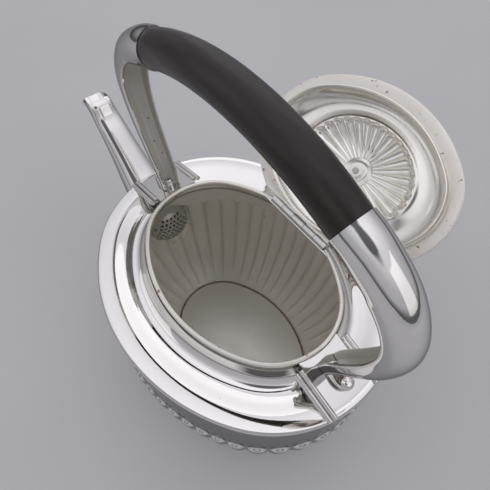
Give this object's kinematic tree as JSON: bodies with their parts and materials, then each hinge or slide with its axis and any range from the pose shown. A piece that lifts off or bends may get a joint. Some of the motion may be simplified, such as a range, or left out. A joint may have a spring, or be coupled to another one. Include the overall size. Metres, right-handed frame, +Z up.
{
  "type": "tea kettle with hinged lid",
  "caption": "Oval half-fluted silver-plated kettle with a curved spout, a fixed overhead bail with a dark wood grip, and a domed side-hinged lid standing open.",
  "frame": {"origin": "centre of the base plate's underside, on the table", "axes": "+Z up, spout to -X, lid hinge on +Y, bail handle in the XZ plane"},
  "size_m": [0.3003, 0.2086, 0.2653],
  "materials": {
    "silver_plate": "mirror polish with fine scratches and tarnish at the joints",
    "silver_satin": "dull warm grey inner plating",
    "ebony": "satin ebonised hardwood",
    "pin_steel": "plain drawn wire"
  },
  "bodies": {
    "kettle": {"base_plate": "silver_satin", "body_bowl": "silver_plate", "shoulder": "silver_plate", "mouth_rim": "silver_plate", "hinge_ledge": "silver_plate", "spout": "silver_plate", "strainer": "silver_satin", "grip": "ebony", "grip_pins": "pin_steel", "body_hinge": "silver_plate", "hinge_pin": "pin_steel", "handle_arm_front": "silver_plate", "saddle_front": "silver_plate", "saddle_reeds_front": "silver_plate", "foot_scroll_front": "silver_plate", "scroll_eye_front": "silver_plate", "handle_arm_rear": "silver_plate", "saddle_rear": "silver_plate", "saddle_reeds_rear": "silver_plate", "foot_scroll_rear": "silver_plate", "scroll_eye_rear": "silver_plate"},
    "lid": {"lid_shell": "silver_plate", "lid_flange": "silver_satin", "lid_bezel": "silver_satin", "lid_rosette": "silver_satin", "lid_hinge": "silver_plate", "finial_collar": "silver_plate", "finial_knob": "ebony", "finial_stud": "pin_steel", "finial_washer": "silver_satin", "finial_nut": "silver_satin"}
  },
  "joints": [
    {"name": "lid_hinge", "type": "hinge", "parent": "kettle", "child": "lid", "pos_m": [0, 0.0464, 0.1371], "axis": [1, 0, 0], "range_deg": [0, 143]}
  ]
}
